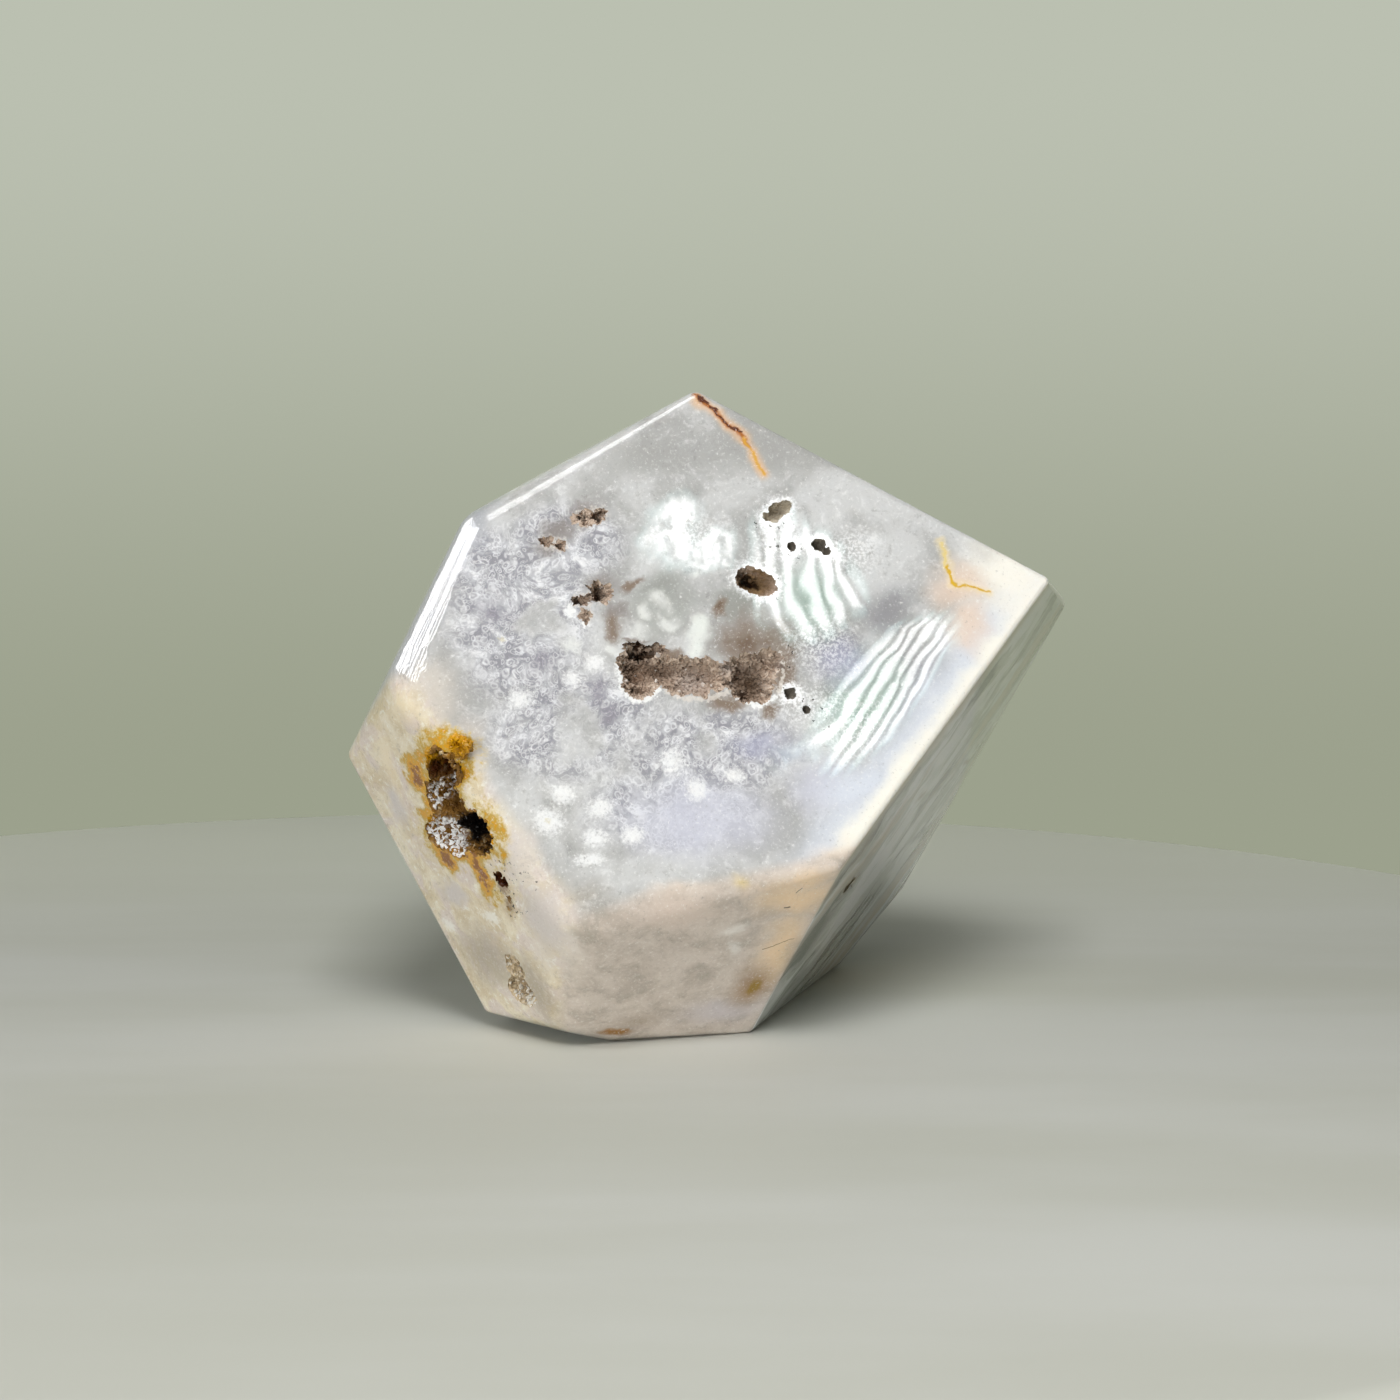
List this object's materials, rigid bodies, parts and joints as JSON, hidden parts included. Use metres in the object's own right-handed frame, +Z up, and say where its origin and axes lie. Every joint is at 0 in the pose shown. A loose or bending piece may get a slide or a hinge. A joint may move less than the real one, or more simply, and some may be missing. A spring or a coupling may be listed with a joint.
{
  "type": "druzy agate free-form",
  "caption": "Hand-polished faceted agate free-form that stands on a ground base, with hollows lined by small quartz crystals.",
  "frame": {"origin": "middle of the stone's box at the level of its ground base", "axes": "+Z up as the stone stands, +X to the right along its widest extent, and the widest polished face looks along -Y"},
  "size_m": [0.0798, 0.0736, 0.0688],
  "materials": {
    "polished_agate": "hand-polished translucent chalcedony, lilac-grey with cream and white clouds and rust veins",
    "smoky_druse": "frosted grey-brown quartz crystals",
    "iron_stained_druse": "silvery quartz crystals over dark brown and amber iron oxide",
    "clear_druse": "clear to milky quartz crystals"
  },
  "bodies": {
    "root": {"agate_body": "polished_agate", "central_vug_druse": "smoky_druse", "smoky_pocket_druse": "smoky_druse", "upper_pocket_druse": "smoky_druse", "eye_vug_druse": "smoky_druse", "iron_vug_druse": "iron_stained_druse", "foot_pocket_druse": "clear_druse"}
  },
  "joints": []
}
